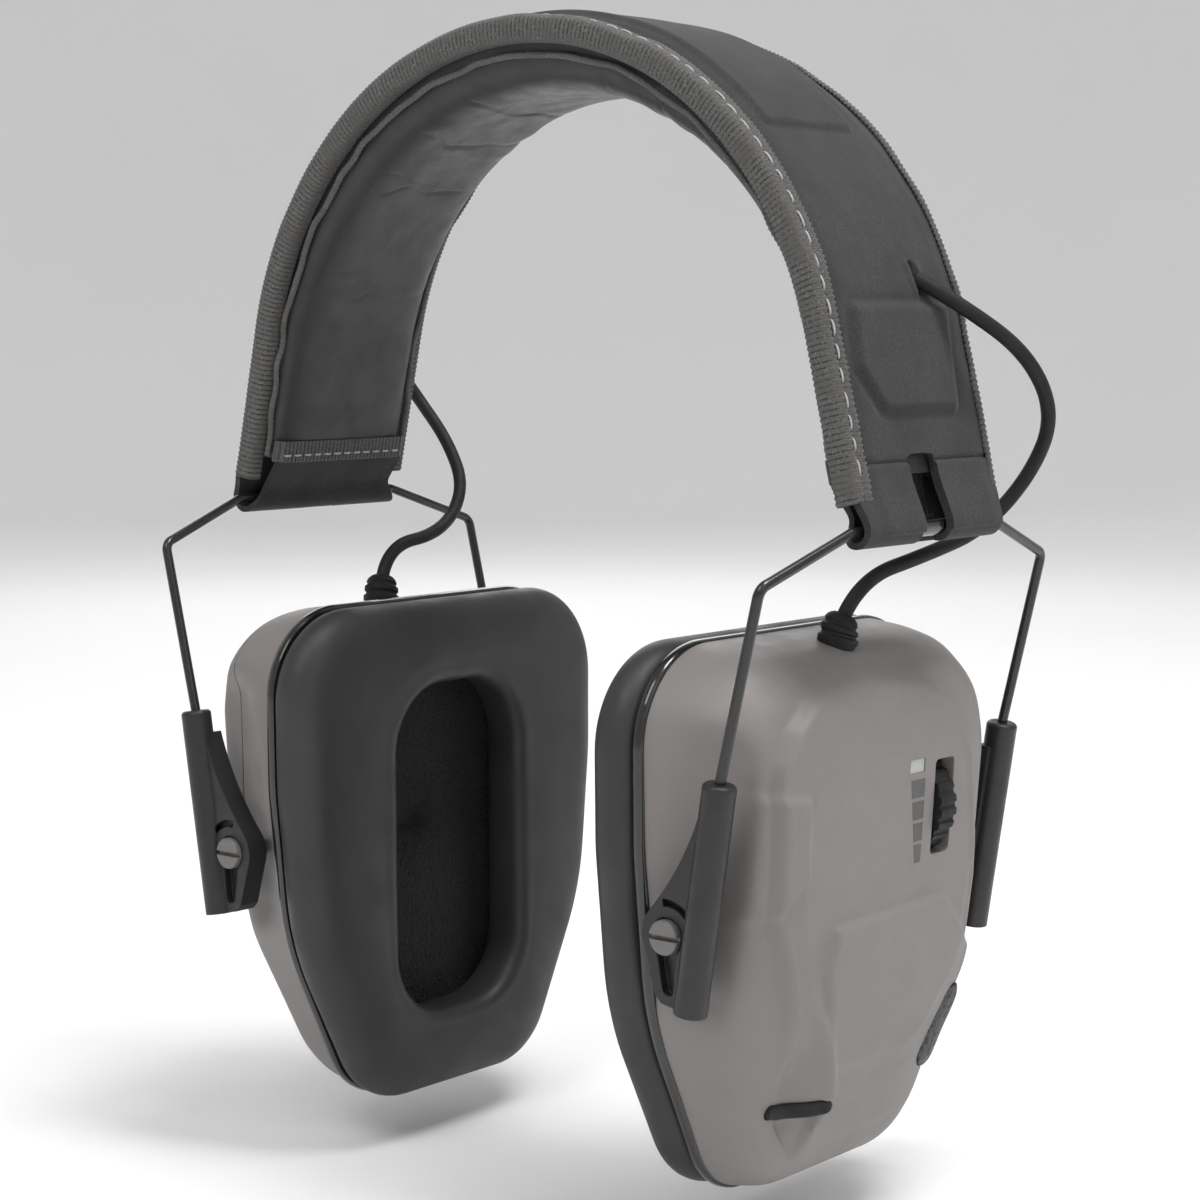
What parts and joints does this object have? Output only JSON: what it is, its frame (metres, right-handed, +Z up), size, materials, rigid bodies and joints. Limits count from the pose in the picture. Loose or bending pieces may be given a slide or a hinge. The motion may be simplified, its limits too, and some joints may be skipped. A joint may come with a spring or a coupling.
{
  "type": "earmuff hearing protector",
  "caption": "Folding electronic earmuff with a padded headband, wire yokes, sliding arms, padded ear cups, a volume wheel and a battery door.",
  "frame": {"origin": "crown of the headband pad's underside, where the head touches it", "axes": "+Z up, +X to the wearer's right, +Y to the wearer's front"},
  "size_m": [0.178, 0.1002, 0.2281],
  "materials": {
    "cover_fabric": "woven softshell",
    "pad_leather": "soft leather-look facing",
    "binding_tape": "ribbed grosgrain",
    "spring_steel": "satin",
    "black_wire": "semi-gloss black",
    "black_plastic": "fine moulded texture",
    "screw_head": "flat warm grey",
    "screw_steel": "zinc plated",
    "grey_shell": "fine moulded texture",
    "cushion_skin": "smooth vinyl",
    "gloss_ring": "glossy",
    "foam": "open-cell foam",
    "black_rubber": "matte",
    "mesh_black": "perforated",
    "component_metal": "plated",
    "window_clear": "translucent pale",
    "mark_grey": "printed",
    "board_green": "solder mask",
    "battery_wrap": "plain wrap"
  },
  "bodies": {
    "headband": {"headband_cover": "cover_fabric", "headband_pad": "pad_leather", "headband_spring": "spring_steel", "rear_binding": "binding_tape", "front_binding": "binding_tape", "left_hinge_clip": "spring_steel", "right_hinge_clip": "spring_steel", "left_clip_rivets": "spring_steel", "right_clip_rivets": "spring_steel", "left_pad_tape": "binding_tape", "right_pad_tape": "binding_tape", "left_cord": "black_rubber", "right_cord": "black_rubber"},
    "left_yoke": {"left_yoke_wire": "black_wire"},
    "left_arms": {"left_front_arm": "black_plastic", "left_rear_arm": "black_plastic"},
    "left_cup": {"left_baffle_screws": "screw_steel", "left_cushion": "cushion_skin", "left_cushion_ring": "gloss_ring", "left_foam_liner": "foam", "left_gland": "black_rubber", "left_mic_cover": "mesh_black", "left_microphone": "component_metal", "left_pivot_screws": "screw_head", "left_shell": "grey_shell", "left_speaker": "black_plastic", "left_speaker_baffle": "black_plastic", "battery_tray": "black_plastic", "batteries": "battery_wrap", "battery_contacts": "component_metal"},
    "right_yoke": {"right_yoke_wire": "black_wire"},
    "right_arms": {"right_front_arm": "black_plastic", "right_rear_arm": "black_plastic"},
    "right_cup": {"right_baffle_screws": "screw_steel", "right_cushion": "cushion_skin", "right_cushion_ring": "gloss_ring", "right_foam_liner": "foam", "right_gland": "black_rubber", "right_mic_cover": "mesh_black", "right_microphone": "component_metal", "right_pivot_screws": "screw_head", "right_shell": "grey_shell", "right_speaker": "black_plastic", "right_speaker_baffle": "black_plastic", "volume_pot": "component_metal", "circuit_board": "board_green", "led_window": "window_clear", "volume_marks": "mark_grey"},
    "volume_wheel": {"volume_wheel": "black_rubber"},
    "jack_cover": {"jack_cover": "black_rubber"},
    "battery_door": {"battery_door": "grey_shell"}
  },
  "joints": [
    {"name": "right_fold", "type": "hinge", "parent": "headband", "child": "right_yoke", "pos_m": [0.0823, 0, -0.084], "axis": [0, 1, 0], "range_deg": [-15, 30], "deforming": ["right_cord"]},
    {"name": "right_height", "type": "slide", "parent": "right_yoke", "child": "right_arms", "axis": [0.2385, 0, 0.9711], "range_m": [-0.005, 0.014], "deforming": ["right_cord"]},
    {"name": "right_tilt", "type": "hinge", "parent": "right_arms", "child": "right_cup", "pos_m": [0.05933, 0, -0.15696], "axis": [0, 1, 0], "range_deg": [-14, 14], "deforming": ["right_cord"]},
    {"name": "left_fold", "type": "hinge", "parent": "headband", "child": "left_yoke", "pos_m": [-0.0823, 0, -0.084], "axis": [0, 1, 0], "range_deg": [-30, 15], "deforming": ["left_cord"]},
    {"name": "left_height", "type": "slide", "parent": "left_yoke", "child": "left_arms", "axis": [-0.2385, 0, 0.9711], "range_m": [-0.005, 0.014], "deforming": ["left_cord"]},
    {"name": "left_tilt", "type": "hinge", "parent": "left_arms", "child": "left_cup", "pos_m": [-0.05933, 0, -0.15696], "axis": [0, 1, 0], "range_deg": [-14, 14], "deforming": ["left_cord"]},
    {"name": "volume_turn", "type": "hinge", "parent": "right_cup", "child": "volume_wheel", "pos_m": [0.06843, 0.015, -0.13966], "axis": [0, 1, 0], "range_deg": [0, 270]},
    {"name": "battery_door_hinge", "type": "hinge", "parent": "left_cup", "child": "battery_door", "pos_m": [-0.07653, 0, -0.14896], "axis": [0, -1, 0], "range_deg": [0, 80]},
    {"name": "jack_cover_hinge", "type": "hinge", "parent": "right_cup", "child": "jack_cover", "pos_m": [0.07075, -0.01173, -0.19508], "axis": [0, 0.0847, 0.9964], "range_deg": [0, 70]}
  ]
}
